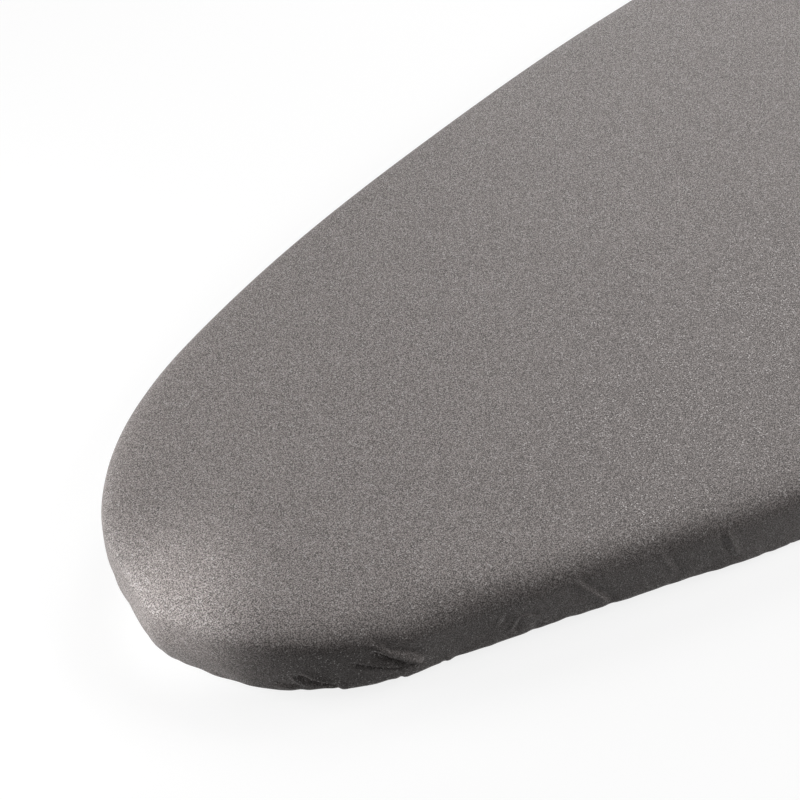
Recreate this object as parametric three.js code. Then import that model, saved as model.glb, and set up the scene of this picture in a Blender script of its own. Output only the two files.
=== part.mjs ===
// Padded ironing board cover, in the stretched shape that it has on a board.
// Millimetres, +Z up. The nose points to -X. The origin is under the middle of the cover,
// on the plane that the hem rests on.
import * as THREE from 'three';

// The board that the cover fits, seen from above
const BOARD_LENGTH = 1200;
const BOARD_WIDTH = 380;
const BOARD_RIM = 30; // depth from the board's top to the underside of its rim
const NOSE_LENGTH = 850; // from the nose tip to where the sides run parallel
const NOSE_BLUNTNESS = 162; // handle of the nose curve, across the tip
const FLANK_HANDLE = 339; // handle of the nose curve, along the side
const TAIL_CORNER = 70;
const EASE = 5; // from the board's edge to the outside of the cover

// Layers, from the board up
const FELT = 4;
const FOAM = 6;
const CLOTH = 0.8;
const SHOULDER = 12; // outer radius of the padded top edge

// Hem: the skirt bends under the rim, lies flat, then lifts to its gathered edge
const DRAW_IN = 2; // how far the skirt leans in towards the hem
const HEM_BEND = 6;
const HEM_FLAT = 8;
const LIFT_RUN = 7;
const EDGE_LIFT = 2;
const CASING_OVERLAP = 5; // cloth held flat for the casing
const MOUTH_SETBACK = 1; // from the end of the lift to the mouth of the casing
const TAPE = 0.6;
const ELASTIC_WIDTH = 6;
const ELASTIC = 0.8;

// Waves of the skirt, and folds where the elastic draws spare cloth together
const HEM_WAVES = 7;
const HEM_RISE = 3;
const FOLD_DEPTH = 2;
const GATHER_AT_BENDS = 4;
const GATHER_ON_SIDES = 1.2;
const FULL_BEND = 80; // radius of the outline at which the folds reach their full depth

const CLEARANCE = 0.3;

const NOSE_STEPS = 20;
const SIDE_STEPS = 3;
const CORNER_STEPS = 6;
const TAIL_STEPS = 2;
const SHOULDER_STEPS = 3;
const BEND_STEPS = 2;
const FOAM_EDGE_STEPS = 3;

const QUARTER = Math.PI / 2;

// Plan of the outside of the cover
const halfWidth = BOARD_WIDTH / 2 + EASE;
const tailX = BOARD_LENGTH / 2 + EASE;
const noseX = -tailX;
const flankX = noseX + NOSE_LENGTH;
const cornerX = tailX - TAIL_CORNER;
const cornerY = halfWidth - TAIL_CORNER;

// Heights of the layers
const feltBottom = CLOTH + BOARD_RIM;
const feltTop = feltBottom + FELT;
const foamBottom = feltTop + CLEARANCE;
const foamTop = foamBottom + FOAM;
const top = foamTop + CLEARANCE + CLOTH;
const shoulderZ = top - SHOULDER;

// Distances in from the outline, along the underside
const flatEnd = DRAW_IN + FOLD_DEPTH + HEM_BEND + HEM_FLAT;
const liftEnd = flatEnd + LIFT_RUN;
const clothEdge = liftEnd + CASING_OVERLAP;
const casingMouth = liftEnd + MOUTH_SETBACK;
const elasticStart = clothEdge + CLEARANCE;
const elasticEnd = elasticStart + ELASTIC_WIDTH;
const casingBack = elasticEnd + CLEARANCE;

// Half the outline: round the nose, along the side, round the corner, to the middle of the tail
function halfOutline() {
  const at = (x, y) => new THREE.Vector2(x, y);
  const nose = new THREE.CubicBezierCurve(
    at(noseX, 0),
    at(noseX, NOSE_BLUNTNESS),
    at(flankX - FLANK_HANDLE, halfWidth),
    at(flankX, halfWidth),
  );
  const side = new THREE.LineCurve(at(flankX, halfWidth), at(cornerX, halfWidth));
  const corner = new THREE.EllipseCurve(
    cornerX, cornerY, TAIL_CORNER, TAIL_CORNER, QUARTER, 0, true,
  );
  const tail = new THREE.LineCurve(at(tailX, cornerY), at(tailX, 0));
  return [[nose, NOSE_STEPS], [side, SIDE_STEPS], [corner, CORNER_STEPS], [tail, TAIL_STEPS]];
}

// Stations all round the outline, each with its place and the direction into the cover
function placeStations() {
  const half = [];
  for (const [curve, steps] of halfOutline()) {
    for (let k = 0; k < steps; k++) {
      const tangent = curve.getTangent(k / steps);
      half.push({ at: curve.getPoint(k / steps), inward: new THREE.Vector2(tangent.y, -tangent.x) });
    }
  }
  half[0].inward.set(1, 0);
  const tailMiddle = { at: new THREE.Vector2(tailX, 0), inward: new THREE.Vector2(-1, 0) };
  const mirrored = half.slice(1).reverse().map(({ at, inward }) => ({
    at: new THREE.Vector2(at.x, -at.y),
    inward: new THREE.Vector2(inward.x, -inward.y),
  }));
  return [...half, tailMiddle, ...mirrored];
}

// Adds the state of the cloth: how far the hem rises, and every second station is a fold
function addFolds(stations) {
  const count = stations.length;
  const next = (i) => stations[(i + 1) % count];
  const stretch = stations.map((station, i) => station.at.distanceTo(next(i).at));
  const girth = stretch.reduce((sum, length) => sum + length);
  let walked = 0;
  stations.forEach((station, i) => {
    const before = (i + count - 1) % count;
    const turn = Math.abs(stations[before].inward.angleTo(next(i).inward));
    const fullness = Math.min(1, (FULL_BEND * turn) / (stretch[before] + stretch[i]));
    const isFold = i % 2;
    const wave = -Math.cos((2 * Math.PI * HEM_WAVES * walked) / girth);
    station.rise = HEM_RISE * Math.max(0, wave);
    station.fold = isFold * FOLD_DEPTH * fullness;
    const gather = THREE.MathUtils.lerp(GATHER_ON_SIDES, GATHER_AT_BENDS, fullness);
    station.edge = station.rise + EDGE_LIFT + isFold * gather;
    walked += stretch[i];
  });
  return stations;
}

const stations = addFolds(placeStations());

// Quarter arcs of a section, as [distance in, height]
function shoulderArc(radius) {
  return Array.from({ length: SHOULDER_STEPS + 1 }, (_, k) => {
    const angle = (QUARTER * k) / SHOULDER_STEPS;
    return [SHOULDER - radius * Math.sin(angle), shoulderZ + radius * Math.cos(angle)];
  });
}

function hemArc(radius, station) {
  return Array.from({ length: BEND_STEPS + 1 }, (_, k) => {
    const angle = (QUARTER * k) / BEND_STEPS;
    return [
      DRAW_IN + station.fold + HEM_BEND - radius * Math.cos(angle),
      station.rise + HEM_BEND - radius * Math.sin(angle),
    ];
  });
}

// One face of the cloth, from the top edge down the skirt and under to the gathered edge
function clothFace(station, depth) {
  return [
    ...shoulderArc(SHOULDER - depth),
    ...hemArc(HEM_BEND - depth, station),
    [flatEnd, station.rise + depth],
    [liftEnd, station.edge + depth],
    [clothEdge, station.edge + depth],
  ];
}

function clothSection(station) {
  return [...clothFace(station, 0), ...clothFace(station, CLOTH).reverse()];
}

// The pads keep their clearance to the flats of the faceted shoulder
const padRadius = (SHOULDER - CLOTH) * Math.cos(QUARTER / SHOULDER_STEPS / 2) - CLEARANCE;

function padInset(height) {
  const above = Math.max(0, height - shoulderZ);
  return SHOULDER - Math.sqrt(padRadius ** 2 - above ** 2);
}

function foamSection() {
  const reach = Math.acos(Math.max(0, (foamBottom - shoulderZ) / padRadius));
  const round = Array.from({ length: FOAM_EDGE_STEPS - 1 }, (_, k) => {
    const angle = (reach * (k + 1)) / FOAM_EDGE_STEPS;
    return [SHOULDER - padRadius * Math.sin(angle), shoulderZ + padRadius * Math.cos(angle)];
  });
  return [[SHOULDER, foamTop], ...round, [padInset(foamBottom), foamBottom]];
}

function feltSection() {
  return [[padInset(feltTop), feltTop], [padInset(feltBottom), feltBottom]];
}

// Binding tape folded round the edge of the cloth, with the elastic in the fold
function casingSection(station) {
  const middle = station.edge + CLOTH / 2;
  const inside = Math.max(CLOTH, ELASTIC) / 2 + CLEARANCE;
  const outside = inside + TAPE;
  return [
    [casingBack + TAPE / 2, middle + outside],
    [casingMouth, middle + outside],
    [casingMouth, middle + inside],
    [casingBack, middle + inside],
    [casingBack, middle - inside],
    [casingMouth, middle - inside],
    [casingMouth, middle - outside],
    [casingBack + TAPE / 2, middle - outside],
    [casingBack + TAPE, middle],
  ];
}

function elasticSection(station) {
  const middle = station.edge + CLOTH / 2;
  return [
    [elasticEnd, middle + ELASTIC / 2],
    [elasticStart, middle + ELASTIC / 2],
    [elasticStart, middle - ELASTIC / 2],
    [elasticEnd, middle - ELASTIC / 2],
  ];
}

// Carries a section round the outline. An open section starts at the rim of an upper flat
// and ends at the rim of a lower one, and both flats are filled. A closed one makes a ring.
function carryRound(sectionAt, isClosed) {
  const count = stations.length;
  const sections = stations.map(sectionAt);
  const rings = sections[0].length;
  const positions = [];
  sections.forEach((section, i) => {
    const { at, inward } = stations[i];
    for (const [inset, height] of section) {
      positions.push(at.x + inward.x * inset, at.y + inward.y * inset, height);
    }
  });
  const corner = (ring, i) => (i % count) * rings + (ring % rings);
  const triangles = [];
  for (let ring = 0; ring < (isClosed ? rings : rings - 1); ring++) {
    // Facing walls are split along the same diagonals, so they fold alike
    const goesIn = sections[0][(ring + 1) % rings][0] > sections[0][ring][0];
    for (let i = 0; i < count; i++) {
      const a = corner(ring, i);
      const b = corner(ring, i + 1);
      const c = corner(ring + 1, i + 1);
      const d = corner(ring + 1, i);
      triangles.push(...(goesIn ? [a, b, c, a, c, d] : [a, b, d, b, c, d]));
    }
  }
  if (!isClosed) {
    const last = rings - 1;
    for (let i = 0; i < count / 2; i++) {
      // Across the cover from one side to the other, in quads that end in a triangle at nose and tail
      if (i > 0) {
        triangles.push(corner(0, i), corner(0, count - i), corner(0, i + 1));
        triangles.push(corner(last, i), corner(last, i + 1), corner(last, count - i));
      }
      if (i < count / 2 - 1) {
        triangles.push(corner(0, i + 1), corner(0, count - i), corner(0, count - i - 1));
        triangles.push(corner(last, i + 1), corner(last, count - i - 1), corner(last, count - i));
      }
    }
  }
  const geometry = new THREE.BufferGeometry();
  geometry.setAttribute('position', new THREE.Float32BufferAttribute(positions, 3));
  geometry.setIndex(triangles);
  geometry.computeVertexNormals();
  return geometry;
}

const cover = new THREE.Group();
cover.name = 'ironing_board_cover';

function addPiece(name, geometry, color, roughness, metalness = 0) {
  const piece = new THREE.Mesh(geometry, new THREE.MeshStandardMaterial({ color, roughness, metalness }));
  piece.name = name;
  cover.add(piece);
}

addPiece('cover_cloth', carryRound(clothSection, false), 0x87827f, 0.55, 0.35);
addPiece('foam_pad', carryRound(foamSection, false), 0xe8e2cf, 0.95);
addPiece('felt_underlay', carryRound(feltSection, false), 0xb9b4aa, 1);
addPiece('hem_casing', carryRound(casingSection, true), 0x4b4747, 0.85);
addPiece('hem_elastic', carryRound(elasticSection, true), 0xe9e7e1, 0.8);

export default cover;
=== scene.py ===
"""A padded ironing board cover in its stretched shape, on a pale studio floor."""

import math
from types import SimpleNamespace

import bpy
import numpy as np
from bpy.props import FloatProperty, FloatVectorProperty, IntProperty, PointerProperty
from mathutils import Matrix, Vector


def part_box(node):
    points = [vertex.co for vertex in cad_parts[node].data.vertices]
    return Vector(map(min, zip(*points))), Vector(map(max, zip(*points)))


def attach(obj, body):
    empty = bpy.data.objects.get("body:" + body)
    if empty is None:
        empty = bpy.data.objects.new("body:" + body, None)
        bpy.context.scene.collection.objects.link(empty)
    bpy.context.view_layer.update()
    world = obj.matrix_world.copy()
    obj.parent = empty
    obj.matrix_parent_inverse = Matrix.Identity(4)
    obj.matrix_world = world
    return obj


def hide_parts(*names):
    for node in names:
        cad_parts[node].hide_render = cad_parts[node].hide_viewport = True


bl_info = {
    "name": "Ironing Board Cover",
    "version": (1, 0, 0),
    "blender": (4, 5, 0),
    "location": "View3D > Sidebar > Cover",
    "description": "Builds a padded ironing board cover with a gathered elastic hem",
    "category": "Object",
}

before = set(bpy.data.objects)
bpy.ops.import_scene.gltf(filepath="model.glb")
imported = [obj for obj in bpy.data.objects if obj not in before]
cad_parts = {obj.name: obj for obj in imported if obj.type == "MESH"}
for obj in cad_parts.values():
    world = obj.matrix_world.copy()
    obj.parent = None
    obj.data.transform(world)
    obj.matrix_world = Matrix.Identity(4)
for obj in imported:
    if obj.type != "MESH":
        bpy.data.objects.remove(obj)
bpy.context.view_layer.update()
BODY = "root"
MM = 0.001
TURN = 2 * math.pi
QUARTER = math.pi / 2


def number(name, description, default, **limits):
    """A number that a user can change."""
    return FloatProperty(name=name, description=description, default=default, **limits)


def length(name, description, default):
    """A length that a user can change, in metres."""
    return number(name, description, default, unit="LENGTH", precision=4)


def angle(name, description, degrees):
    """An angle that a user can change."""
    return number(name, description, math.radians(degrees), subtype="ANGLE")


def colour(name, description, default):
    """A linear colour that a user can change."""
    limits = {"subtype": "COLOR", "size": 3, "min": 0, "max": 1}
    return FloatVectorProperty(name=name, description=description, default=default, **limits)


class CoverSizes(bpy.types.PropertyGroup):
    """Sizes of the cover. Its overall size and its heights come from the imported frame"""

    nose_length: length("Nose length", "From the nose tip to the parallel sides", 0.850)
    nose_bluntness: length("Nose bluntness", "Handle of the nose curve, across the tip", 0.162)
    flank_handle: length("Flank handle", "Handle of the nose curve, along the side", 0.339)
    tail_corner: length("Tail corner", "Radius of the two square corners", 0.070)
    crown_run: length("Crown run", "How far in the top starts to fall", 0.034)
    shoulder_drop: length("Shoulder drop", "Height of the rounded edge", 0.0125)
    side_crown: number("Side crown", "How late the top falls to the sides", 7.4, min=2)
    nose_crown: number("Nose crown", "How late the top falls to the nose", 4.4, min=2)
    nose_bulge: length("Nose bulge", "Swelling of the skirt at the nose tip", 0.0020)
    bulge_run: length("Bulge run", "Reach of the swelling along the outline", 0.060)
    nose_fall: length("Nose fall", "Sinking of the top at the nose tip", 0.0035)
    nose_run: length("Nose run", "From the nose tip to where the top is level", 0.120)
    cloth: length("Cloth", "Thickness of the cloth", 0.0006)
    draw_in: length("Draw-in", "How far the skirt leans in towards the hem", 0.002)
    hem_bend: length("Hem bend", "Radius of the bend into the hem", 0.006)
    flat_end: length("Flat end", "From the outline to where the hem lifts", 0.018)
    lift_end: length("Lift end", "From the outline to the casing", 0.025)
    cloth_edge: length("Cloth edge", "From the outline to the raw edge", 0.030)
    edge_lift: length("Edge lift", "Height of the casing over the lowest cloth", 0.002)
    hem_rise: length("Hem rise", "Height of the waves along the skirt", 0.003)
    hem_waves: IntProperty(name="Hem waves", description="Waves round the skirt", default=7, min=0)
    full_bend: length("Full bend", "Radius at which the gathers are fullest", 0.080)
    gather_at_bends: length("Gather at bends", "Height of the puckers at nose and corners", 0.004)
    gather_on_sides: length("Gather on sides", "Height of the puckers along the sides", 0.0012)
    pucker: length("Pucker", "Length of one pucker of the edge", 0.012)
    tape: length("Tape", "Thickness of the binding tape", 0.0006)
    tape_reach: length("Tape reach", "Width of the folded binding tape", 0.0112)
    elastic_width: length("Elastic width", "Width of the flat elastic", 0.006)
    elastic: length("Elastic", "Thickness of the flat elastic", 0.0008)
    clearance: length("Clearance", "Gap between neighbouring layers", 0.0003)
    stitch_pitch: length("Stitch pitch", "From one stitch to the next", 0.004)
    stitch_length: length("Stitch length", "Thread that shows in one stitch", 0.0031)
    thread: length("Thread", "Radius of the sewing thread", 0.00022)


class CoverColours(bpy.types.PropertyGroup):
    """Colours of the cover's materials"""

    cloth: colour("Cloth", "Metallised cotton, in even light", (0.240, 0.217, 0.209))
    # Colour of the cloth's flecks: their lightening is a painted sparkle on top of their metallic
    # finish
    fleck_and_painted_glint: colour("Glint", "Metallised threads that face the light", (0.60, 0.58, 0.57))
    foam: colour("Foam", "Open-cell foam", (0.80, 0.75, 0.62))
    felt: colour("Felt", "Needled felt", (0.48, 0.45, 0.40))
    felt_fibre: colour("Felt fibre", "Darker fibres in the felt", (0.26, 0.24, 0.22))
    tape: colour("Tape", "Binding tape of the hem", (0.070, 0.065, 0.065))
    elastic: colour("Elastic", "Braided elastic", (0.80, 0.79, 0.75))
    thread: colour("Thread", "Sewing thread of the casing", (0.13, 0.125, 0.122))


class StageSettings(bpy.types.PropertyGroup):
    """Camera and floor"""

    azimuth: angle("Azimuth", "Turn of the camera about the cover", -37.54)
    elevation: angle("Elevation", "Camera above the horizon", 44.25)
    roll: angle("Roll", "Tilt of the camera", -3.0)
    distance: length("Distance", "From the camera to its target", 0.8279)
    look_from_nose: length("Look from nose", "From the nose tip to the target", 0.1529)
    look_aside: length("Look aside", "From the middle line to the target", 0.0041)
    lens: number("Lens", "Focal length in millimetres", 81.0, min=1)
    floor_gap: length("Floor gap", "From the floor to the lowest cloth", 0.0004)
    fill: number("Fill", "Strength of the even light all round", 0.03, min=0)


# Slack: distance from the nose tip, negative on the camera's side, and how far the cloth stands out
SLACK = (
    (-0.420, 0.0), (-0.340, 0.0065), (-0.290, 0.0050), (-0.240, 0.0013), (-0.195, 0.0003),
    (-0.155, 0.0017), (-0.120, 0.0065), (-0.090, 0.0072), (-0.060, 0.0055), (-0.030, 0.0027),
    (-0.016, 0.0032), (0.000, -0.0004), (0.050, 0.0008), (0.100, 0.0030), (0.130, 0.0026),
    (0.180, 0.0003), (0.250, -0.0010), (0.340, -0.0018), (0.500, 0.0),
)

# Tucks of the drawn hem on that side: start and end, as distance from the nose tip and height, then
# depth, height and overlap of the lip, run-out of the hollow below it, and its deepest share
TUCKS = (
    ((0.0798, 0.0165), (0.0955, 0.0066), 0.0060, 0.0010, 0.0014, 0.0020, 0.60),
    ((0.1105, 0.0288), (0.1304, 0.0122), 0.0072, 0.0018, 0.0018, 0.0014, 0.90),
    ((0.1010, 0.0228), (0.1256, 0.0122), 0.0048, 0.0010, 0.0012, 0.0011, 0.70),
)

# Pull of the tucks on the shoulder: distance from the nose tip, width and strength
PULL_AT, PULL_WIDTH, PULL = 0.132, 0.022, 3.0

# Fine creases on the same side: start, end and height of the ridge, or less than 0 for a furrow
CREASES = (
    ((0.1995, 0.0340), (0.2195, 0.0080), 0.0008),
    ((0.2690, 0.0325), (0.2790, 0.0115), -0.0008),
    ((0.2395, 0.0350), (0.2505, 0.0140), 0.0005),
    ((0.1674, 0.0275), (0.1646, 0.0175), 0.0003),
    ((0.1750, 0.0218), (0.1710, 0.0112), 0.0007),
    ((0.1738, 0.0214), (0.1838, 0.0164), 0.0006),
    ((0.0776, 0.0152), (0.0814, 0.0074), 0.0010),
    ((0.0690, 0.0073), (0.0805, 0.0059), 0.0006),
    ((0.1075, 0.0345), (0.1300, 0.0175), 0.0009),
    ((0.0940, 0.0085), (0.0962, 0.0005), -0.0006),
    ((0.1205, 0.0080), (0.1235, 0.0005), -0.0006),
    ((0.1400, 0.0085), (0.1430, 0.0005), -0.0006),
)

# Soft valleys on the far side: start and end, as distance from the nose tip and inset, depth, width
VALLEYS = (
    ((0.3100, 0.0120), (0.2200, 0.0285), 0.0009, 0.0065),
    ((0.3520, 0.0135), (0.3080, 0.0345), 0.0007, 0.0060),
    ((0.2250, 0.0290), (0.1600, 0.0250), 0.0005, 0.0070),
)

# Seeded gathers: step and depth on the sides, what full bends change in them, and their spreads
GATHER_SEED = 7
GATHER_STEP, CLOSER_AT_BENDS, STEP_SPREAD = 0.060, 0.036, (0.7, 1.3)
GATHER_DEPTH, DEEPER_AT_BENDS, DEPTH_SPREAD = 0.0003, 0.0007, (0.5, 1.2)
GATHER_WIDTH, GATHER_LEAN = (0.16, 0.26), 0.5

# Seeded crimps of the hem: sizes in millimetres, and lean
CRIMP_WIDTH, CRIMP_DEPTH, CRIMP_STEP, CRIMP_LEAN = (2.0, 5.0), (-0.3, 0.7), (6, 16), 0.4

# Waves that shift the puckers of the edge: size, rate and phase
SHIFT_WAVES = ((0.8, 41, 0.6), (0.5, 97, 2.1))

# Steps between stations in millimetres, by distance from the nose tip or from the tail's middle
NEAR_STEPS = (
    (0, 1.3), (0.060, 1.3), (0.072, 0.7), (0.132, 0.7), (0.146, 1.2), (0.185, 1.1), (0.198, 0.8),
    (0.222, 0.8), (0.235, 1.4), (0.262, 1.1), (0.290, 1.1), (0.320, 3.0), (0.400, 10.0),
)
NEAR_TAIL_STEPS = ((0.340, 10.0), (0.260, 5.5), (0, 5.5))
FAR_STEPS = ((0, 1.5), (0.060, 1.5), (0.200, 3), (0.400, 4))
FAR_TAIL_STEPS = ((0.340, 5), (0.260, 4), (0, 4))
OUTLINE_POINTS = 4000

# Bow of the lines across the cover next to its straight tail, and its reach along the outline
TAIL_BOW, TAIL_RUN = 3.2, 0.60

WEAVE_PITCH, TWILL_PITCH, BRAID_PITCH = 0.55 * MM, 0.9 * MM, 1.1 * MM

# Lamps: name, place, aim, size and power in watts
NOSE_HALF = (-0.40, 0.0, 0.04)
SOFT_LAMPS = (
    ("nose_light", (-0.92, 0.28, 0.14), (-0.57, -0.03, 0.03), 0.25, 2.65),
    ("front_light", (1.16, -0.90, 1.30), NOSE_HALF, 1.0, 28),
    ("high_light", (0.83, 0.71, 1.73), NOSE_HALF, 1.0, 14.5),
    ("back_light", (1.10, 1.50, 0.61), NOSE_HALF, 1.0, 11),
)


def smooth(x):
    """Smooth step from 0 to 1."""
    x = np.clip(x, 0, 1)
    return x * x * (3 - 2 * x)


def bell(x, width=1.0, at=0.0):
    """Smooth hump of height 1."""
    return np.exp(-(((x - at) / width) ** 2))


def between(start, end, share):
    """A value between two others."""
    return start + (end - start) * share


def tapered(passed, power):
    """1 in the middle of a line and 0 at its ends."""
    return np.sin(math.pi * np.clip(passed, 0, 1)) ** power


def rows_to(count, end=1):
    """Equal steps up to the end, without the start."""
    return np.linspace(0, end, count + 1)[None, 1:]


def soft_curve(keys, at):
    """Smooth curve through a few keys, flat at its ends."""
    x, y = np.array(keys).T
    slope = np.gradient(y, x)
    slope[0] = slope[-1] = 0
    i = np.clip(np.searchsorted(x, at) - 1, 0, len(x) - 2)
    run = x[i + 1] - x[i]
    t = np.clip((at - x[i]) / run, 0, 1)
    return (
        (1 + 2 * t) * (1 - t) ** 2 * y[i]
        + t * (1 - t) ** 2 * run * slope[i]
        + t * t * (3 - 2 * t) * y[i + 1]
        + t * t * (t - 1) * run * slope[i + 1]
    )


def walk(points):
    """Distance walked along a line, at each point."""
    return np.r_[0, np.cumsum(np.linalg.norm(np.diff(points, axis=0), axis=1))]


def half_outline(sizes):
    """Half the outline, from the nose tip to the middle of the tail."""
    low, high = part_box("cover_cloth")
    flank = low.x + sizes.nose_length
    corner = np.array((high.x, high.y)) - sizes.tail_corner
    t = np.linspace(0, 1, OUTLINE_POINTS)[:, None]
    first, second = (low.x, sizes.nose_bluntness), (flank - sizes.flank_handle, high.y)
    handles = np.array([(low.x, 0), first, second, (flank, high.y)])
    weights = np.hstack([(1 - t) ** 3, 3 * t * (1 - t) ** 2, 3 * t * t * (1 - t), t**3])
    turned = QUARTER * (1 - t)
    turn = corner + sizes.tail_corner * np.hstack([np.cos(turned), np.sin(turned)])
    side = np.array((flank, high.y)) * (1 - t) + turn[0] * t
    tail = turn[-1] * (1 - t) + np.array((high.x, 0)) * t
    return np.vstack([weights @ handles, side[1:], turn[1:], tail[1:]])


def spread(walked, nose_steps, tail_steps, half=None):
    """Places along half the outline, at the given steps. With half, as many as that."""
    marks = [*nose_steps, *((walked[-1] - at, step) for at, step in tail_steps)]
    places, steps = np.array(marks).T
    spacing = np.interp(walked, places, MM * steps)
    count = np.r_[0, np.cumsum(np.diff(walked) / (0.5 * (spacing[1:] + spacing[:-1])))]
    half = half or int(round(count[-1]))
    return np.interp(np.linspace(0, count[-1], half + 1), count, walked)


def round_stations(sizes):
    """Stations round the outline. along is the distance from the nose tip, as for the slack."""
    path = half_outline(sizes)
    walked = walk(path)
    near = spread(walked, NEAR_STEPS, NEAR_TAIL_STEPS)
    far = spread(walked, FAR_STEPS, FAR_TAIL_STEPS, len(near) - 1)
    heading = np.unwrap(np.arctan2(*np.gradient(path, walked, axis=0).T[::-1]))

    def side(at, mirror):
        place = np.stack([np.interp(at, walked, path[:, k]) for k in (0, 1)], -1)
        facing = np.interp(at, walked, heading)
        facing[0], facing[-1] = QUARTER, -QUARTER
        inward = np.stack([np.sin(facing), -np.cos(facing)], -1)
        bend = np.interp(at, walked, np.abs(np.gradient(heading, walked)))
        return place * (1, mirror), inward * (1, mirror), bend

    back = slice(-2, 0, -1)
    far_side, near_side = side(far, 1), side(near, -1)
    place, inward, bend = (np.concatenate([a, b[back]]) for a, b in zip(far_side, near_side))
    along = np.r_[far, -near[back]]
    slack = soft_curve(SLACK, along)
    return SimpleNamespace(
        half=len(far) - 1,
        place=place - inward * slack[:, None],
        inward=inward,
        along=along,
        slack=slack,
        fullness=np.minimum(1, sizes.full_bend * bend),
        girth=2 * walked[-1],
    )


def settle(points, sizes):
    """Lowers the padded top towards the nose tip. The underside of the pads stays level."""
    low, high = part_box("cover_cloth")
    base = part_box("felt_underlay")[0].z
    to_go = np.clip(1 - (points[..., 0] - low.x) / sizes.nose_run, 0, None)
    share = smooth((points[..., 2] - base) / (high.z - base))
    sunk = points.copy()
    sunk[..., 2] -= sizes.nose_fall * to_go**2 * share
    return sunk


def gathered_edge(ring, sizes):
    """Height of the skirt's bottom and of the gathered edge, at each station."""
    wave = -np.cos(TURN * sizes.hem_waves * ring.along / ring.girth)
    rise = sizes.hem_rise * np.maximum(0, wave)
    shift = sum(size * np.sin(rate * ring.along + start) for size, rate, start in SHIFT_WAVES)
    phase = TURN * ring.along / sizes.pucker + 2.2 * shift
    gather = between(sizes.gather_on_sides, sizes.gather_at_bends, ring.fullness)
    swing_length = 5.3 * sizes.pucker
    strength = 0.7 + 0.3 * np.sin(TURN * ring.along / swing_length + shift)
    pucker = (0.5 - 0.5 * np.cos(phase)) * strength
    return rise, rise + sizes.edge_lift + gather * pucker


def crown_at(ring, sizes):
    """How late the top falls towards its edge, at each station."""
    reach = 2.5 * sizes.full_bend
    tip = 1 - smooth(np.abs(ring.along) / reach)
    pulled = bell(ring.along + PULL_AT, PULL_WIDTH)
    return between(sizes.side_crown, sizes.nose_crown, tip) - PULL * pulled


def skirt_section(ring, sizes):
    """Rows of the cloth at each station: inset, height, and where each part of them ends."""
    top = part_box("cover_cloth")[1].z
    rise, edge = (row[:, None] for row in gathered_edge(ring, sizes))
    level = np.ones_like(rise)
    crown = crown_at(ring, sizes)[:, None]
    crowding = 1.7
    shoulder = QUARTER * np.linspace(0, 1, 17)[None] ** crowding
    under = rows_to(6, QUARTER)
    down, flat, lift, grip = (rows_to(count) for count in (24, 2, 3, 1))
    fall = 1 - np.sin(shoulder) ** (2 / crown)
    drop, bend = sizes.shoulder_drop, sizes.hem_bend
    turned = sizes.draw_in + bend
    swell = sizes.nose_bulge * bell(ring.along, sizes.bulge_run)[:, None]
    inset = [
        sizes.crown_run * fall + ring.slack[:, None] * smooth(fall),
        sizes.draw_in * down - swell * np.sin(math.pi * down),
        level * (turned - bend * np.cos(under)),
        level * between(turned, sizes.flat_end, flat),
        level * between(sizes.flat_end, sizes.lift_end, lift),
        level * between(sizes.lift_end, sizes.cloth_edge, grip),
    ]
    height = [
        level * (top - drop + drop * np.cos(shoulder)),
        (top - drop) * (1 - down) + (rise + bend) * down,
        rise + bend - bend * np.sin(under),
        rise + 0 * flat,
        between(rise, edge, smooth(lift)),
        edge + 0 * grip,
    ]
    ends = np.cumsum([part.shape[1] for part in inset])
    return np.hstack(inset), np.hstack(height), ends


def distance_to_line(along, across_it, start, end):
    """Distance of each point from a line, and the share of the line passed."""
    across = along[:, None] - start[0]
    up = across_it - start[1]
    run = (end[0] - start[0], end[1] - start[1])
    span = math.hypot(*run)
    passed = (across * run[0] + up * run[1]) / span**2
    aside = (up * run[0] - across * run[1]) / span
    return aside, passed


def gathers(ring, height, ends):
    """How far small gathers and crimps draw each point of the cloth in."""
    draws = np.random.default_rng(GATHER_SEED)
    depth = np.zeros_like(height)
    shoulder, skirt, bend, _, lift, _ = ends
    rows = np.arange(height.shape[1])
    start = 0.8 * shoulder
    fade_out = 1 - smooth((rows - bend) / (lift - bend))
    envelope = (smooth((rows - start) / (bend - start)) * fade_out)[None]
    low_rows = smooth((rows - 0.5 * (shoulder + skirt)) / (0.5 * (skirt - shoulder)))
    hem_only = (low_rows * fade_out)[None]
    above_hem = height - height[:, skirt - 1 : skirt]
    order = np.argsort(ring.along)
    at = -0.5 * ring.girth
    while at < 0.5 * ring.girth:
        full = np.interp(at, ring.along[order], ring.fullness[order])
        step = (GATHER_STEP - CLOSER_AT_BENDS * full) * draws.uniform(*STEP_SPREAD)
        width = step * draws.uniform(*GATHER_WIDTH)
        deep = (GATHER_DEPTH + DEEPER_AT_BENDS * full) * draws.uniform(*DEPTH_SPREAD)
        lean = draws.normal(0, GATHER_LEAN)
        x = (ring.along[:, None] - at - lean * above_hem) / width
        swell = 0.4 * bell(x, width=2.4)
        depth += envelope * deep * (bell(x) - swell)
        at += step
    at = -0.5 * ring.girth
    while at < 0.5 * ring.girth:
        width = draws.uniform(*CRIMP_WIDTH) * MM
        deep = draws.uniform(*CRIMP_DEPTH) * MM
        lean = draws.normal(0, CRIMP_LEAN)
        depth += hem_only * deep * bell(ring.along[:, None] - at - lean * above_hem, width)
        at += draws.uniform(*CRIMP_STEP) * MM
    return depth


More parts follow.
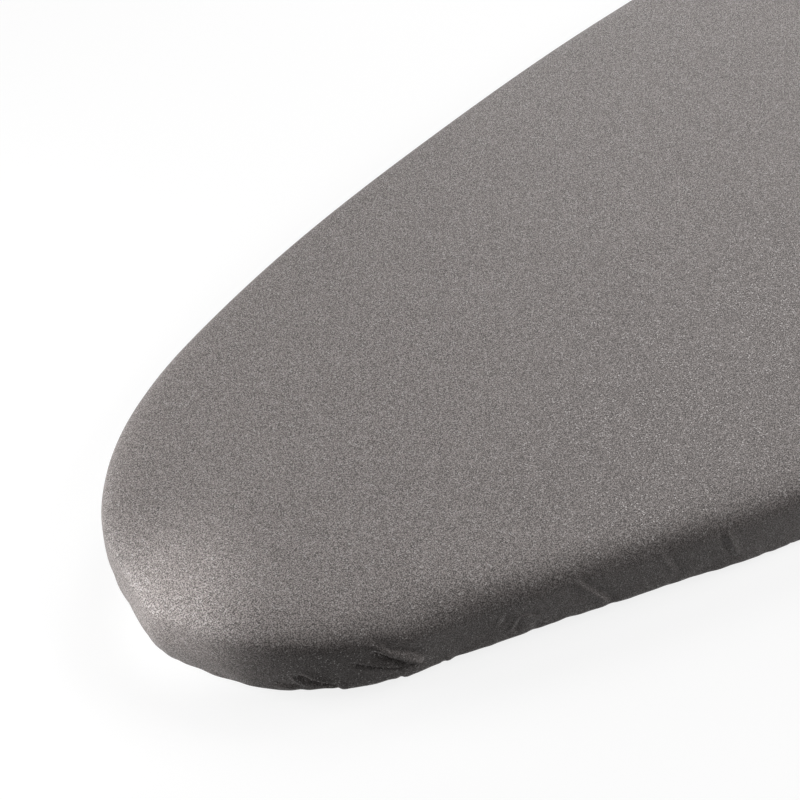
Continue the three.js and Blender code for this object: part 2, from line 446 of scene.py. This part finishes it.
def folds(ring, height, ends):
    """How far gathers, tucks and creases draw the cloth in, move it along and raise it."""
    depth = gathers(ring, height, ends)
    slide = np.zeros_like(height)
    raised = np.zeros_like(height)
    for start, end, deep, lip, lap, run_out, deepest in TUCKS:
        aside, passed = distance_to_line(-ring.along, height, start, end)
        opening = np.clip(np.minimum(passed / deepest, (1 - passed) / (1 - deepest)), 0, 1)
        taper = tapered(0.5 * opening, power=0.8)
        is_over = aside >= 0
        hollow = np.where(is_over, bell(aside, width=0.5 * MM), bell(aside, run_out))
        roll = np.where(is_over, bell(aside, width=2.0 * MM, at=1.2 * MM), 0)
        depth += taper * (deep * hollow - lip * roll)
        lapped = taper * lap * np.where(is_over, -bell(aside, width=2.6 * MM), 0)
        span = math.dist(start, end)
        slide += lapped * (end[1] - start[1]) / span
        raised += lapped * (end[0] - start[0]) / span
    for start, end, ridge in CREASES:
        aside, passed = distance_to_line(-ring.along, height, start, end)
        dip = 0.8 * bell(aside, width=1.8 * MM, at=2.6 * MM)
        crest = bell(aside, width=0.9 * MM) - dip
        depth -= tapered(passed, power=0.6) * ridge * crest
    return depth, slide, raised


def valleys(ring, inset, ends):
    """How far the top sinks into its soft valleys."""
    depth = np.zeros_like(inset)
    rows = np.arange(inset.shape[1])
    first, run_out = 0.5 * ends[0], 0.4 * ends[0]
    on_top = 1 - smooth((rows - first) / run_out)
    for start, end, deep, width in VALLEYS:
        aside, passed = distance_to_line(ring.along, inset, start, end)
        depth += deep * tapered(passed, power=0.8) * bell(aside, width) * on_top
    return depth


def into_space(ring, inset, height, slide=None):
    """Points in space of the rows at each station, slid along the outline."""
    flat = ring.place[:, None, :] + ring.inward[:, None, :] * inset[..., None]
    if slide is not None:
        forward = ring.inward[:, ::-1] * np.array([-1, 1])
        flat = flat + forward[:, None, :] * slide[..., None]
    return np.concatenate([flat, height[..., None]], -1)


def ring_faces(count, rows, closed=False):
    """Quads between neighbouring stations and rows, facing out of the cover."""
    i = np.arange(count)[:, None]
    r = np.arange(rows if closed else rows - 1)[None]
    here, beyond = i * rows, ((i + 1) % count) * rows
    below = (r + 1) % rows
    corners = [here + r, beyond + r, beyond + below, here + below]
    return np.stack(corners, -1).reshape(-1, 4).tolist()


def across_faces(ring, rim, inner, spans):
    """Quads across the cover, in lines that join each station to its mirrored one."""
    half, count = ring.half, 2 * ring.half
    lines = {}
    for i in range(1, half):
        first = inner + (i - 1) * (spans - 1)
        lines[i] = [rim(i), *range(first, first + spans - 1), rim(count - i)]
    faces = []
    for k in range(spans):
        faces.append((rim(0), lines[1][k + 1], lines[1][k]))
        faces.append((lines[half - 1][k], lines[half - 1][k + 1], rim(half)))
    for i in range(1, half - 1):
        a, b = lines[i], lines[i + 1]
        faces.extend((a[k], a[k + 1], b[k + 1], b[k]) for k in range(spans))
    return faces


def across_points(ring, rim_points, spans):
    """Points between each station and its mirrored one, on lines that bow in from the tail."""
    half = ring.half
    left = rim_points[1:half]
    right = rim_points[: -half : -1]
    t = np.linspace(0, 1, spans + 1)[None, 1:-1, None]
    lines = left[:, None] * (1 - t) + right[:, None] * t
    from_tail = 0.5 * ring.girth - np.abs(ring.along[1:half])
    bow = TAIL_BOW * (1 - smooth(from_tail / TAIL_RUN)) * np.sum((left - right) ** 2, 1)
    lines[..., 0] -= bow[:, None] * (t * (1 - t))[..., 0]
    return lines.reshape(-1, 3)


def new_object(name, data):
    """An object at the origin of the scene."""
    made = bpy.data.objects.new(name, data)
    bpy.context.scene.collection.objects.link(made)
    return made


def new_piece(name, points, faces, material):
    """A smooth mesh object, with its place in its mesh."""
    mesh = bpy.data.meshes.new(name)
    mesh.from_pydata(np.asarray(points).tolist(), [], faces)
    mesh.shade_smooth()
    mesh.materials.append(material)
    return new_object(name, mesh)


def give_uv(piece, name, at):
    """A UV map from one pair of numbers for each point."""
    layer = piece.data.uv_layers.new(name=name)
    corners = np.zeros(len(piece.data.loops), dtype=np.int32)
    piece.data.loops.foreach_get("vertex_index", corners)
    layer.data.foreach_set("uv", at[corners].astype(np.float32).ravel())


def bake_modifiers(piece):
    """Turns what the modifiers make into a plain mesh."""
    evaluated = piece.evaluated_get(bpy.context.evaluated_depsgraph_get())
    finished = bpy.data.meshes.new_from_object(evaluated)
    piece.modifiers.clear()
    piece.data = finished


def both_ways(operation):
    """Methods for a field before another term and after it."""
    return (
        lambda self, other: self.math(operation, self, other),
        lambda self, other: self.math(operation, other, self),
    )


class Field:
    """A shader value that joins in Python arithmetic. Each step adds a Math node"""

    __add__, __radd__ = both_ways("ADD")
    __sub__, __rsub__ = both_ways("SUBTRACT")
    __mul__, __rmul__ = both_ways("MULTIPLY")

    def __init__(self, finish, socket):
        self.finish = finish
        self.socket = socket

    def math(self, operation, *terms, clamp=False):
        node = self.finish.node("ShaderNodeMath", operation=operation, use_clamp=clamp)
        for slot, term in zip(node.inputs, terms):
            self.finish.plug(slot, term)
        return Field(self.finish, node.outputs[0])

    def __abs__(self):
        return self.math("ABSOLUTE", self)

    def sine(self):
        return self.math("SINE", self)

    def clamped(self):
        return self.math("ADD", self, 0.0, clamp=True)

    def above(self, low, high):
        """0 below low, 1 above high, and smooth in between."""
        sockets = {"Value": self, "From Min": low, "From Max": high}
        smoothly = {"interpolation_type": "SMOOTHSTEP"}
        return self.finish.field("ShaderNodeMapRange", "Result", sockets, **smoothly)


class Nodes:
    """A tree of nodes being put together"""

    def __init__(self, tree):
        self.tree = tree

    def plug(self, slot, term):
        """Sets a socket, or links it to a field or another socket."""
        if isinstance(term, Field):
            term = term.socket
        if isinstance(term, bpy.types.NodeSocket):
            self.tree.links.new(term, slot)
        else:
            slot.default_value = term

    def node(self, kind, sockets=(), **settings):
        """Adds a node: its settings first, then the values or links of its sockets."""
        node = self.tree.nodes.new(kind)
        for key, value in settings.items():
            setattr(node, key, value)
        for name, term in dict(sockets).items():
            slot = next(s for s in node.inputs if s.enabled and name in (s.identifier, s.name))
            self.plug(slot, term)
        return node


class Finish(Nodes):
    """A material, or the world, being put together"""

    def __init__(self, name, family="materials", surface="Principled BSDF"):
        self.owner = getattr(bpy.data, family).new(name)
        self.owner.use_nodes = True
        super().__init__(self.owner.node_tree)
        self.surface = self.tree.nodes[surface]

    def field(self, kind, output, sockets=(), **settings):
        """The value of one output of a new node."""
        return Field(self, self.node(kind, sockets, **settings).outputs[output])

    def at(self, output):
        """Texture coordinates."""
        return self.node("ShaderNodeTexCoord").outputs[output]

    def noise(self, scale, detail=2.0, roughness=0.5, where=None):
        """Noise about 0.5, on the object's coordinates by default."""
        where = where or self.at("Object")
        sockets = {"Vector": where, "Scale": scale, "Detail": detail, "Roughness": roughness}
        return self.field("ShaderNodeTexNoise", "Fac", sockets)

    def mapped(self, **change):
        """The object's coordinates, scaled along each axis or turned."""
        sockets = {"Vector": self.at("Object"), **change}
        return self.node("ShaderNodeMapping", sockets).outputs[0]

    def split(self, where):
        """The parts of a vector or colour, as fields."""
        node = self.node("ShaderNodeSeparateXYZ", {"Vector": where})
        return [Field(self, part) for part in node.outputs]

    def mix(self, factor, first, second):
        """A colour between two colours."""
        sockets = {"Factor_Float": factor, "A_Color": first, "B_Color": second}
        node = self.node("ShaderNodeMix", sockets, data_type="RGBA")
        return next(s for s in node.outputs if s.identifier == "Result_Color")

    def seen(self):
        """1 for what the camera sees, also mirrored or through glass, and 0 for other light."""
        path = self.node("ShaderNodeLightPath")
        field = Field(self, path.outputs["Is Camera Ray"])
        field = field.math("MAXIMUM", field, path.outputs["Is Glossy Ray"])
        return field.math("MAXIMUM", field, path.outputs["Is Transmission Ray"])

    def with_bump(self, height, depth, strength):
        """The finished material, with a bump."""
        sockets = {"Height": height, "Distance": depth, "Strength": strength}
        bump = self.node("ShaderNodeBump", sockets)
        self.plug(self.surface.inputs["Normal"], bump.outputs[0])
        return self.owner

    def set(self, **sockets):
        """Sets sockets of the surface, named with underscores for spaces."""
        for name, term in sockets.items():
            self.plug(self.surface.inputs[name.replace("_", " ")], term)


def tint(tone, factor=1.0):
    """A shade of a colour, with its alpha."""
    return (*(factor * part for part in tone), 1.0)


def cloth_finish(colours):
    """Metallised cotton: a fine plain weave, with metallic flecks lightened as painted sparkle."""
    finish = Finish("metallised_cotton")
    warp, weft, _ = finish.split(finish.at("UV"))
    rate = TURN / WEAVE_PITCH
    weave = abs((warp * rate).sine()) * 0.5 + abs((weft * rate).sine()) * 0.5
    aslant = finish.mapped(Rotation=(0.7, 0.5, 0.3))
    grain = finish.noise(2000, detail=0.0, where=aslant)
    cells = finish.node("ShaderNodeTexVoronoi", {"Vector": aslant, "Scale": 1200.0})
    chance, _, _ = finish.split(cells.outputs["Color"])
    core = 1 - Field(finish, cells.outputs["Distance"]).above(0.15, 0.6)
    # Random flecks: metallic and smoother, and lighter in base colour as a painted sparkle
    fleck_and_painted_glint = chance.above(0.58, 1.0) * core
    cloud = finish.noise(14, detail=3)
    shade = (grain - 0.5) * 2.6 + (cloud - 0.5) * 0.12 + 0.44
    body = finish.mix(shade.clamped(), tint(colours.cloth, 0.40), tint(colours.cloth, 1.60))
    finish.set(
        Base_Color=finish.mix(fleck_and_painted_glint * 0.6, body, tint(colours.fleck_and_painted_glint)),
        Metallic=fleck_and_painted_glint * 0.3,
        Roughness=0.58 - fleck_and_painted_glint * 0.2,
        Specular_IOR_Level=0.22,
    )
    return finish.with_bump(weave * 0.15 + grain * 0.85, depth=0.15 * MM, strength=0.8)


def foam_finish(colours):
    """Open-cell foam."""
    finish = Finish("open_cell_foam")
    where = finish.at("Object")
    cells = finish.field("ShaderNodeTexVoronoi", "Distance", {"Vector": where, "Scale": 900.0})
    cloud = finish.noise(30, detail=3)
    pore = 1 - cells.above(0.1, 0.5)
    shade = pore * 0.6 + cloud * 0.25
    finish.set(
        Base_Color=finish.mix(shade, tint(colours.foam), tint(colours.foam, 0.62)),
        Roughness=0.92 + pore * 0.06,
    )
    return finish.with_bump(cells, depth=0.5 * MM, strength=0.8)


def felt_finish(colours):
    """Needled felt: long fibres in all directions, and a few dark ones."""
    finish = Finish("needled_felt")
    along = finish.noise(1300, 3, 0.6, finish.mapped(Scale=(0.18, 1.0, 1.0)))
    across = finish.noise(1300, 3, 0.6, finish.mapped(Scale=(1.0, 0.18, 1.0)))
    fibre = along.math("MAXIMUM", along, across)
    cloud = finish.noise(60, 4, 0.6)
    streaks = finish.noise(500, 4, 0.7, finish.mapped(Scale=(0.3, 1.0, 1.0)))
    dark = streaks.above(0.60, 0.72)
    shade = (fibre * 0.7 + cloud * 0.5 - 0.1).clamped()
    body = finish.mix(shade, tint(colours.felt, 0.6), tint(colours.felt))
    finish.set(
        Base_Color=finish.mix(dark * 0.7, body, tint(colours.felt_fibre)),
        Roughness=0.9 + fibre * 0.1,
        Sheen_Weight=0.3,
        Sheen_Roughness=0.5,
    )
    return finish.with_bump(fibre * 0.7 + cloud * 0.6, depth=0.6 * MM, strength=0.9)


def tape_finish(colours):
    """Binding tape in a twill: ribs that run aslant, crossed by finer threads."""
    finish = Finish("binding_tape")
    run, width, _ = finish.split(finish.at("UV"))
    rate = TURN / TWILL_PITCH
    rib = ((run + width) * rate).sine() * 0.5 + 0.5
    thread = ((run - width) * (rate * 2.2)).sine() * 0.5 + 0.5
    grain = finish.noise(1400)
    shade = rib * 0.5 + thread * 0.2 + grain * 0.3
    finish.set(
        Base_Color=finish.mix(shade, tint(colours.tape, 0.55), tint(colours.tape, 1.5)),
        Roughness=0.78 + grain * 0.15,
        Sheen_Weight=0.2,
    )
    return finish.with_bump(rib * 0.6 + thread * 0.25 + grain * 0.2, depth=0.15 * MM, strength=0.8)


def elastic_finish(colours):
    """Braided elastic: cords of rubber wrapped in crossing yarns."""
    finish = Finish("braided_elastic")
    run, width, _ = finish.split(finish.at("UV"))
    rate = TURN / BRAID_PITCH
    there, back = (run + 1.6 * width) * rate, (run - 1.6 * width) * rate
    braid = abs(there.sine()) * abs(back.sine())
    grain = finish.noise(1800)
    shade = braid * 0.7 + grain * 0.3
    finish.set(
        Base_Color=finish.mix(shade, tint(colours.elastic, 0.6), tint(colours.elastic)),
        Roughness=0.7 + grain * 0.15,
    )
    return finish.with_bump(shade, depth=0.2 * MM, strength=0.8)


def thread_finish(colours):
    """Twisted sewing thread."""
    finish = Finish("sewing_thread")
    grain = finish.noise(4000, detail=1)
    finish.set(
        Base_Color=finish.mix(grain, tint(colours.thread, 0.7), tint(colours.thread, 1.4)),
        Roughness=0.5 + grain * 0.2,
        Sheen_Weight=0.2,
    )
    return finish.with_bump(grain, depth=0.05 * MM, strength=0.5)


def floor_finish():
    """Pale floor: white to the eye, with a soft shadow, dim as a lamp and clear from below."""
    finish = Finish("pale_floor")
    finish.tree.nodes.remove(finish.surface)

    def shader(kind, **sockets):
        return finish.node("ShaderNode" + kind, sockets).outputs[0]

    def blend(factor, first, second):
        return shader("MixShader", Fac=factor, Shader=first, Shader_001=second)

    dim, grey = (shader("BsdfDiffuse", Color=(g, g, g, 1)) for g in (0.10, 0.20))
    glow, white = (shader("Emission", Strength=level) for level in (0.84, 1.0))
    bright = shader("AddShader", Shader=grey, Shader_001=glow)
    around = {"Vector": finish.mapped(Scale=(1.0, 1.6, 1.0))}
    away = finish.field("ShaderNodeVectorMath", "Value", around, operation="LENGTH")
    shown = blend(finish.seen(), dim, blend(away.above(0.85, 1.4), bright, white))
    behind = finish.field("ShaderNodeNewGeometry", "Backfacing")
    shadow_ray = finish.field("ShaderNodeLightPath", "Is Shadow Ray")
    is_clear = behind.math("MAXIMUM", behind, shadow_ray)
    floor = blend(is_clear, shown, shader("BsdfTransparent"))
    finish.plug(finish.tree.nodes["Material Output"].inputs["Surface"], floor)
    return finish.owner


def chosen():
    """The sizes and colours that the user has set."""
    return bpy.context.scene.ironing_cover_sizes, bpy.context.scene.ironing_cover_colours


class COVER_OT_cloth(bpy.types.Operator):
    """Make the metallised cloth: ironing face, rounded shoulder, skirt and gathered hem"""

    bl_idname = "ironing_cover.cloth"
    bl_label = "Cover Cloth"

    def execute(self, context):
        sizes, colours = chosen()
        ring = round_stations(sizes)
        inset, height, ends = skirt_section(ring, sizes)
        depth, slide, raised = folds(ring, height, ends)
        lean = np.gradient(inset, axis=1)
        fall = np.gradient(height, axis=1)
        run = np.hypot(lean, fall)
        lifted = np.maximum(height + raised + depth * lean / run, sizes.clearance)
        sunk = lifted - valleys(ring, inset, ends)
        drawn = settle(into_space(ring, inset - depth * fall / run, sunk, -slide), sizes)
        count, rows = height.shape
        spans = 4
        flats = across_points(ring, drawn[:, 0], spans)
        points = np.vstack([drawn.reshape(-1, 3), flats])
        faces = ring_faces(count, rows)
        faces += across_faces(ring, lambda i: i * rows, count * rows, spans)
        cloth = new_piece("cover_fabric", points, faces, cloth_finish(colours))
        steps = np.hypot(np.diff(inset), np.diff(height))
        reach = np.cumsum(np.hstack([np.zeros((count, 1)), steps]), 1)
        cut = drawn[:, :1, :2] - ring.inward[:, None, :] * reach[..., None]
        give_uv(cloth, "flat_cut", np.vstack([cut.reshape(-1, 2), flats[:, :2]]))
        wall = cloth.modifiers.new("wall", "SOLIDIFY")
        wall.thickness, wall.offset = sizes.cloth, -1
        bake_modifiers(cloth)
        edge = cut[:, -1]
        following = np.roll(edge, -1, 0)
        area = 0.5 * abs(np.sum(edge[:, 0] * following[:, 1] - edge[:, 1] * following[:, 0]))
        span = np.ptp(edge, 0)
        cloth["cut"] = [float(span[1]), float(span[0]), float(area)]
        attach(cloth, BODY)
        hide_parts("cover_cloth")
        return {"FINISHED"}


def pad(name, ring, rim, material):
    """A flat pad from the rows of its rim, with its two faces filled across."""
    count, rows = rim.shape[:2]
    spans = 12
    upper = across_points(ring, rim[:, 0], spans)
    lower = across_points(ring, rim[:, -1], spans)
    points = np.vstack([rim.reshape(-1, 3), upper, lower])
    inner = count * rows
    faces = ring_faces(count, rows)
    faces += across_faces(ring, lambda i: i * rows, inner, spans)
    beneath = across_faces(ring, lambda i: i * rows + rows - 1, inner + len(upper), spans)
    faces += [face[::-1] for face in beneath]
    return new_piece(name, points, faces, material)


class COVER_OT_pads(bpy.types.Operator):
    """Make the foam pad and the felt underlay"""

    bl_idname = "ironing_cover.pads"
    bl_label = "Foam and Felt"

    def execute(self, context):
        sizes, colours = chosen()
        ring = round_stations(sizes)
        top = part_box("cover_cloth")[1].z
        gap = sizes.cloth + 2 * sizes.clearance
        crown = crown_at(ring, sizes)

        def ends_at(height):
            """How far in a pad ends at this height, at each station."""
            above = min(1.0, max(0.0, (height + gap - top) / sizes.shoulder_drop + 1))
            return gap + sizes.crown_run * (1 - (1 - above * above) ** (1 / crown))

        for name, node, finish, fill in (
            ("foam_layer", "foam_pad", foam_finish, 0.9),
            ("felt_layer", "felt_underlay", felt_finish, 0.8),
        ):
            low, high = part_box(node)
            levels = between(high.z, low.z, np.linspace(0, 1, 9))
            inset = np.stack([ends_at(z) for z in levels], 1)
            bevel = 0.4 * MM
            inset[:, -1] += bevel
            rim = settle(into_space(ring, inset, np.broadcast_to(levels, inset.shape)), sizes)
            layer = pad(name, ring, rim, finish(colours))
            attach(layer, BODY)
            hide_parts(node)
        return {"FINISHED"}


def hem_sweep(name, section, material):
    """A closed section about the cloth's middle, carried along the gathered edge."""
    sizes, _ = chosen()
    ring = round_stations(sizes)
    _, edge = gathered_edge(ring, sizes)
    middle = edge[:, None] + sizes.cloth / 2
    section = np.array(section)
    inset = np.broadcast_to(section[:, 0], (len(edge), len(section)))
    points = into_space(ring, inset, middle + section[:, 1]).reshape(-1, 3)
    faces = ring_faces(len(edge), len(section), closed=True)
    piece = new_piece(name, points, faces, material)
    run = np.broadcast_to(ring.along[:, None], inset.shape)
    across = np.broadcast_to(walk(section), inset.shape)
    give_uv(piece, "weave", np.stack([run, across], -1).reshape(-1, 2))
    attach(piece, BODY)
    return piece


def tape_levels(sizes):
    """Insets of the casing's mouth and back, and how far its faces lie from the cloth's middle."""
    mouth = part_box("cover_cloth")[1].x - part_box("hem_casing")[1].x
    inside = max(sizes.cloth, sizes.elastic) / 2 + sizes.clearance
    return mouth, mouth + sizes.tape_reach, inside, inside + sizes.tape


class COVER_OT_casing(bpy.types.Operator):
    """Make the binding tape folded round the raw edge"""

    bl_idname = "ironing_cover.casing"
    bl_label = "Hem Casing"

    def execute(self, context):
        sizes, colours = chosen()
        mouth, back, inside, outside = tape_levels(sizes)
        fold = back - outside
        turn = np.linspace(QUARTER, -QUARTER, 7)
        flats = np.linspace(0, 1, 5)[1:-1]
        stretch = fold - mouth

        def bent(radius, angles):
            return [(fold + radius * math.cos(a), radius * math.sin(a)) for a in angles]

        section = [
            *bent(outside, turn),
            *((fold - stretch * t, -outside) for t in flats),
            (mouth, -outside),
            (mouth, -inside),
            *((mouth + stretch * t, -inside) for t in flats),
            *bent(inside, turn[::-1]),
            *((fold - stretch * t, inside) for t in flats),
            (mouth, inside),
            (mouth, outside),
            *((mouth + stretch * t, outside) for t in flats),
        ]
        casing = hem_sweep("hem_binding", section[::-1], tape_finish(colours))
        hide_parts("hem_casing")
        return {"FINISHED"}


class COVER_OT_elastic(bpy.types.Operator):
    """Make the flat elastic inside the casing"""

    bl_idname = "ironing_cover.elastic"
    bl_label = "Hem Elastic"

    def execute(self, context):
        sizes, colours = chosen()
        start = sizes.cloth_edge + sizes.clearance
        across = np.linspace(0, 1, 13)
        grooves = 0.22 * np.abs(np.sin(2.5 * math.pi * across))
        edges = 0.5 * np.abs(2 * across - 1) ** 12
        half = 0.5 * sizes.elastic * (1 - grooves - edges)
        upper = [(start + sizes.elastic_width * t, h) for t, h in zip(across, half)]
        lower = [(x, -h) for x, h in upper]
        band = hem_sweep("elastic_band", [*upper[::-1], *lower], elastic_finish(colours))
        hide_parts("hem_elastic")
        return {"FINISHED"}


def stitch_tree(material):
    """Geometry nodes that lay stitches along a line, turned by its attribute face."""
    tree = bpy.data.node_groups.new("stitch_row", "GeometryNodeTree")
    interface = tree.interface
    interface.new_socket("Geometry", in_out="INPUT", socket_type="NodeSocketGeometry")
    for name in ("stitch_pitch", "stitch_length", "thread"):
        interface.new_socket(name, in_out="INPUT", socket_type="NodeSocketFloat")
    interface.new_socket("Geometry", in_out="OUTPUT", socket_type="NodeSocketGeometry")
    nodes = Nodes(tree)

    def add(kind, sockets=(), **settings):
        """The first output of a new node."""
        return nodes.node(kind, sockets, **settings).outputs[0]

    def scaled(term, share):
        return add("ShaderNodeMath", {"Value": term, "Value_001": share}, operation="MULTIPLY")

    given = tree.nodes.new("NodeGroupInput").outputs
    line = add("GeometryNodeMeshToCurve", {"Mesh": given["Geometry"]})
    pitch = {"Curve": line, "Length": given["stitch_pitch"]}
    spaced = add("GeometryNodeResampleCurve", pitch, mode="LENGTH")
    run, thickness = given["stitch_length"], given["thread"]
    dip, crest = scaled(thickness, -0.9), scaled(thickness, 1.9)
    ends = {
        "Start": add("ShaderNodeCombineXYZ", {"X": scaled(run, -0.5), "Z": dip}),
        "Middle": add("ShaderNodeCombineXYZ", {"Z": crest}),
        "End": add("ShaderNodeCombineXYZ", {"X": scaled(run, 0.5), "Z": dip}),
    }
    arch = add("GeometryNodeCurveQuadraticBezier", {"Resolution": 5, **ends})
    thread = add("GeometryNodeCurvePrimitiveCircle", {"Resolution": 5, "Radius": thickness})
    tube = {"Curve": arch, "Profile Curve": thread, "Fill Caps": True}
    stitch = add("GeometryNodeCurveToMesh", tube)
    tangent = add("GeometryNodeInputTangent")
    facing = add("GeometryNodeInputNamedAttribute", {"Name": "face"}, data_type="FLOAT_VECTOR")
    aimed = add("FunctionNodeAlignRotationToVector", {"Vector": tangent}, axis="X")
    turn = {"Rotation": aimed, "Vector": facing}
    turned = add("FunctionNodeAlignRotationToVector", turn, axis="Z", pivot_axis="X")
    row = {"Points": spaced, "Instance": stitch, "Rotation": turned}
    laid = add("GeometryNodeInstanceOnPoints", row)
    real = add("GeometryNodeRealizeInstances", {"Geometry": laid})
    dressed = add("GeometryNodeSetMaterial", {"Geometry": real, "Material": material})
    tree.links.new(dressed, tree.nodes.new("NodeGroupOutput").inputs[0])
    return tree


class COVER_OT_stitches(bpy.types.Operator):
    """Sew the casing with a row of stitches on each face of the tape"""

    bl_idname = "ironing_cover.stitches"
    bl_label = "Casing Stitches"

    def execute(self, context):
        sizes, colours = chosen()
        ring = round_stations(sizes)
        _, edge = gathered_edge(ring, sizes)
        mouth, _, _, outside = tape_levels(sizes)
        seam = np.full((len(edge), 1), mouth + 1.6 * MM)
        middle = edge[:, None] + sizes.cloth / 2
        points, links, facing = [], [], []
        for side in (-1, 1):
            line = into_space(ring, seam, middle + side * outside)[:, 0]
            first = len(points)
            points.extend(line.tolist())
            links.extend((first + k, first + (k + 1) % len(line)) for k in range(len(line)))
            facing.extend([(0.0, 0.0, float(side))] * len(line))
        mesh = bpy.data.meshes.new("casing_stitches")
        mesh.from_pydata(points, links, [])
        face = mesh.attributes.new("face", "FLOAT_VECTOR", "POINT")
        face.data.foreach_set("vector", np.ravel(facing))
        stitches = new_object("casing_stitches", mesh)
        rows = stitches.modifiers.new("stitch_row", "NODES")
        rows.node_group = stitch_tree(thread_finish(colours))
        for socket in rows.node_group.interface.items_tree:
            if hasattr(sizes, socket.name):
                rows[socket.identifier] = getattr(sizes, socket.name)
        bake_modifiers(stitches)
        stitches.data.shade_smooth()
        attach(stitches, BODY)
        return {"FINISHED"}


def add_lamp(name, place, aim, size, power, kind="AREA"):
    """A soft lamp: a square one, or a round spot."""
    lamp = bpy.data.lights.new(name, kind)
    setattr(lamp, "size" if kind == "AREA" else "shadow_soft_size", size)
    lamp.energy = power
    holder = new_object(name, lamp)
    holder.location = place
    holder.rotation_mode = "QUATERNION"
    holder.rotation_quaternion = (Vector(aim) - Vector(place)).to_track_quat("-Z", "Y")
    return lamp


def add_camera(stage):
    """The camera at its angle, aimed at its target on the cover."""
    low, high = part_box("cover_cloth")
    azimuth, elevation = stage.azimuth, stage.elevation
    near, up = math.cos(elevation), math.sin(elevation)
    back = Vector((math.sin(azimuth) * near, -math.cos(azimuth) * near, up))
    right = Vector((math.cos(azimuth), math.sin(azimuth), 0))
    axes = Matrix((right, back.cross(right), back)).transposed()
    tilt = axes @ Matrix.Rotation(stage.roll, 3, "Z")
    target = Vector((low.x + stage.look_from_nose, stage.look_aside, high.z))
    lens = bpy.data.cameras.new("camera")
    lens.lens = stage.lens
    lens.clip_start, lens.clip_end = 0.01, 100
    camera = new_object("camera", lens)
    camera.matrix_world = Matrix.Translation(target + back * stage.distance) @ tilt.to_4x4()
    bpy.context.scene.camera = camera


class COVER_OT_stage(bpy.types.Operator):
    """Set up the floor, the lamps and the camera"""

    bl_idname = "ironing_cover.stage"
    bl_label = "Stage"

    def execute(self, context):
        scene = context.scene
        stage = scene.ironing_cover_stage
        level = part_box("cover_cloth")[0].z - stage.floor_gap
        far = 12.0
        corners = [(-far, -far, level), (far, -far, level), (far, far, level), (-far, far, level)]
        new_piece("studio_floor", corners, [(0, 1, 2, 3)], floor_finish())
        add_camera(stage)
        for lamp in SOFT_LAMPS:
            add_lamp(*lamp)
        under = add_lamp("under_light", (0.05, 0.0, -0.45), (0.05, 0.0, 0.0), 1.0, 1.0)
        under.shape, under.size_y = "RECTANGLE", 0.12
        nose_tip = (-0.602, -0.0185, 0.0357)
        spot = add_lamp("nose_accent", (-1.20, -0.32, 0.78), nose_tip, 0.03, 75, "SPOT")
        spot.spot_size, spot.spot_blend = math.radians(3.44), 1
        studio = Finish("studio", "worlds", "Background")
        studio.set(Color=(1, 1, 1, 1), Strength=studio.seen() * (1 - stage.fill) + stage.fill)
        scene.world = studio.owner
        scene.view_settings.view_transform = "Standard"
        return {"FINISHED"}


class COVER_PT_panel(bpy.types.Panel):
    """Sizes, colours and pieces of the cover"""

    bl_idname = "COVER_PT_panel"
    bl_label = "Ironing Board Cover"
    bl_space_type = "VIEW_3D"
    bl_region_type = "UI"
    bl_category = "Cover"

    def draw(self, context):
        for group in GROUPS:
            box = self.layout.box()
            values = getattr(context.scene, group)
            for name in values.__annotations__:
                box.prop(values, name)
        for operator in OPERATORS:
            self.layout.operator(operator.bl_idname)


OPERATORS = (
    COVER_OT_cloth,
    COVER_OT_pads,
    COVER_OT_casing,
    COVER_OT_elastic,
    COVER_OT_stitches,
    COVER_OT_stage,
)
GROUPS = {
    "ironing_cover_sizes": CoverSizes,
    "ironing_cover_colours": CoverColours,
    "ironing_cover_stage": StageSettings,
}


def register():
    for cls in (*GROUPS.values(), *OPERATORS, COVER_PT_panel):
        bpy.utils.register_class(cls)
    for name, cls in GROUPS.items():
        setattr(bpy.types.Scene, name, PointerProperty(type=cls))


def unregister():
    for name in GROUPS:
        delattr(bpy.types.Scene, name)
    for cls in (COVER_PT_panel, *reversed(OPERATORS), *reversed(GROUPS.values())):
        bpy.utils.unregister_class(cls)


def main():
    register()
    bpy.ops.ironing_cover.cloth()
    bpy.ops.ironing_cover.pads()
    bpy.ops.ironing_cover.casing()
    bpy.ops.ironing_cover.elastic()
    bpy.ops.ironing_cover.stitches()
    bpy.ops.ironing_cover.stage()


if __name__ == "__main__":
    main()
